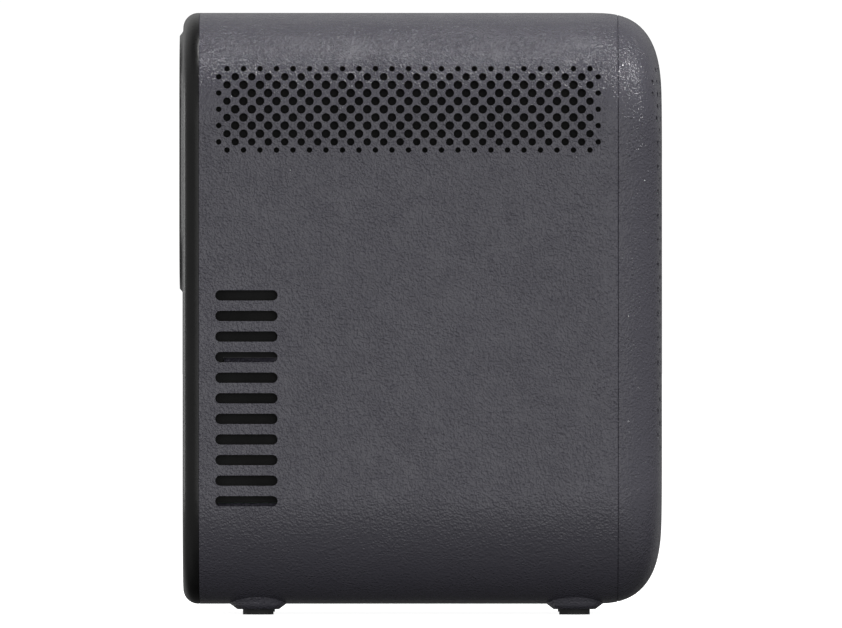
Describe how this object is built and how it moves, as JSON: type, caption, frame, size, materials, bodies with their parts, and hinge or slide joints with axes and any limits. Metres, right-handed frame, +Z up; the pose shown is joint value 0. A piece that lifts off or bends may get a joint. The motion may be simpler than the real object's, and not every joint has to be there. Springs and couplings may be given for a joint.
{
  "type": "projector with disc player",
  "caption": "Upright box-shaped LED projector, lens at the front, exhaust fan, sockets and sliding disc tray at the back, vents in both sides, rubber feet.",
  "frame": {"origin": "on the floor under the middle of the outer box", "axes": "+Z up, the lens looks along -Y, the disc tray opens along +Y, the side walls face -X and +X"},
  "size_m": [0.166, 0.1723, 0.215],
  "materials": {
    "housing_plastic": "fine moulded grain, charcoal grey",
    "cover_plastic": "fine moulded grain, black",
    "key_plastic": "satin black",
    "inner_plastic": "plain black moulding",
    "tray_plastic": "satin dark grey",
    "bezel_plastic": "gloss black trim",
    "gear_plastic": "natural acetal",
    "window_plastic": "dark red window",
    "foot_rubber": "matt black rubber",
    "insert_brass": "turned brass",
    "board_laminate": "green solder mask",
    "component_plastic": "dark component bodies",
    "screw_steel": "blackened steel",
    "port_steel": "nickel-plated sheet",
    "can_steel": "zinc-plated sheet",
    "rod_steel": "ground steel",
    "motor_steel": "plated steel",
    "sink_aluminium": "extruded, plain",
    "sled_metal": "die cast",
    "lens_glass": "coated optical glass",
    "panel_glass": "liquid crystal panel",
    "speaker_steel": "black coated basket",
    "screen_mesh": "fine black woven mesh",
    "cone_paper": "coated paper cone"
  },
  "bodies": {
    "housing": {"housing_sleeve": "housing_plastic", "front_shell": "housing_plastic", "rear_cover": "cover_plastic", "cover_screws": "screw_steel", "vent_screens": "screen_mesh", "foot_pads": "foot_rubber", "tripod_insert": "insert_brass", "key_board": "board_laminate", "inner_screws": "screw_steel", "lens_bezel": "bezel_plastic", "lens_barrel": "inner_plastic", "ring_retainer": "inner_plastic", "focus_motor": "motor_steel", "engine_base": "inner_plastic", "engine_lid": "inner_plastic", "lcd_panel": "panel_glass", "fresnel_lens": "lens_glass", "condenser_lens": "lens_glass", "led_module": "sink_aluminium", "heat_sink": "sink_aluminium", "fan_frame": "inner_plastic", "middle_deck": "inner_plastic", "main_board": "board_laminate", "power_board": "board_laminate", "board_components": "component_plastic", "hdmi_port": "port_steel", "usb_port": "port_steel", "audio_jacks": "inner_plastic", "power_inlet": "inner_plastic", "remote_eye": "window_plastic", "speaker_basket_left": "speaker_steel", "speaker_cone_left": "cone_paper", "speaker_basket_right": "speaker_steel", "speaker_cone_right": "cone_paper", "drive_can": "can_steel", "drive_lid": "can_steel", "tray_guides": "gear_plastic"},
    "tray": {"disc_tray": "tray_plastic", "tray_fascia": "cover_plastic", "mech_plate": "can_steel", "guide_rods": "rod_steel", "spindle_stator": "motor_steel", "feed_motor": "motor_steel"},
    "turntable": {"turntable": "tray_plastic"},
    "sled": {"pickup_sled": "sled_metal", "objective_lens": "lens_glass"},
    "feed_gear": {"feed_gear": "gear_plastic"},
    "eject_key": {"eject_key": "key_plastic"},
    "fan_rotor": {"fan_rotor": "inner_plastic"},
    "focus_ring": {"focus_ring": "gear_plastic"},
    "lens_cell": {"lens_cell": "inner_plastic", "front_lens": "lens_glass", "middle_lens": "lens_glass", "rear_lens": "lens_glass"},
    "focus_pinion": {"focus_pinion": "gear_plastic"},
    "power_key": {"power_key": "key_plastic"},
    "previous_key": {"previous_key": "key_plastic"},
    "play_key": {"play_key": "key_plastic"},
    "next_key": {"next_key": "key_plastic"},
    "source_key": {"source_key": "key_plastic"}
  },
  "joints": [
    {"name": "tray_slide", "type": "slide", "parent": "housing", "child": "tray", "axis": [0, 1, 0], "range_m": [0, 0.118]},
    {"name": "turntable_spin", "type": "hinge", "parent": "tray", "child": "turntable", "pos_m": [0, 0.0178, 0.084], "axis": [0, 0, 1], "continuous": true},
    {"name": "sled_slide", "type": "slide", "parent": "tray", "child": "sled", "axis": [0, -1, 0], "range_m": [0, 0.034]},
    {"name": "feed_gear_spin", "type": "hinge", "parent": "tray", "child": "feed_gear", "pos_m": [0.02539, -0.0142, 0.0807], "axis": [0, 0, 1], "range_deg": [-5, 380]},
    {"name": "eject_press", "type": "slide", "parent": "tray", "child": "eject_key", "axis": [0, -1, 0], "range_m": [0, 0.0006], "stiffness_N_per_m": 900, "springref_m": -0.0004},
    {"name": "fan_spin", "type": "hinge", "parent": "housing", "child": "fan_rotor", "pos_m": [0, 0.074, 0.1617], "axis": [0, 1, 0], "continuous": true},
    {"name": "focus_ring_turn", "type": "hinge", "parent": "housing", "child": "focus_ring", "pos_m": [0, -0.0515, 0.1617], "axis": [0, 1, 0], "range_deg": [-3, 104]},
    {"name": "lens_cell_slide", "type": "slide", "parent": "housing", "child": "lens_cell", "axis": [0, -1, 0], "range_m": [0, 0.008]},
    {"name": "focus_pinion_spin", "type": "hinge", "parent": "housing", "child": "focus_pinion", "pos_m": [0.02425, -0.0515, 0.13745], "axis": [0, 1, 0], "range_deg": [-485, 15]},
    {"name": "power_press", "type": "slide", "parent": "housing", "child": "power_key", "axis": [0, 0, -1], "range_m": [0, 0.0008], "stiffness_N_per_m": 900, "springref_m": -0.0004},
    {"name": "previous_press", "type": "slide", "parent": "housing", "child": "previous_key", "axis": [0, 0, -1], "range_m": [0, 0.0008], "stiffness_N_per_m": 900, "springref_m": -0.0004},
    {"name": "play_press", "type": "slide", "parent": "housing", "child": "play_key", "axis": [0, 0, -1], "range_m": [0, 0.0008], "stiffness_N_per_m": 900, "springref_m": -0.0004},
    {"name": "next_press", "type": "slide", "parent": "housing", "child": "next_key", "axis": [0, 0, -1], "range_m": [0, 0.0008], "stiffness_N_per_m": 900, "springref_m": -0.0004},
    {"name": "source_press", "type": "slide", "parent": "housing", "child": "source_key", "axis": [0, 0, -1], "range_m": [0, 0.0008], "stiffness_N_per_m": 900, "springref_m": -0.0004}
  ],
  "couplings": [
    {"joint": "feed_gear_spin", "follows": "sled_slide", "rad_per_m": 192.31},
    {"joint": "focus_ring_turn", "follows": "lens_cell_slide", "rad_per_m": 218.17},
    {"joint": "focus_pinion_spin", "follows": "lens_cell_slide", "rad_per_m": -1018.1}
  ]
}
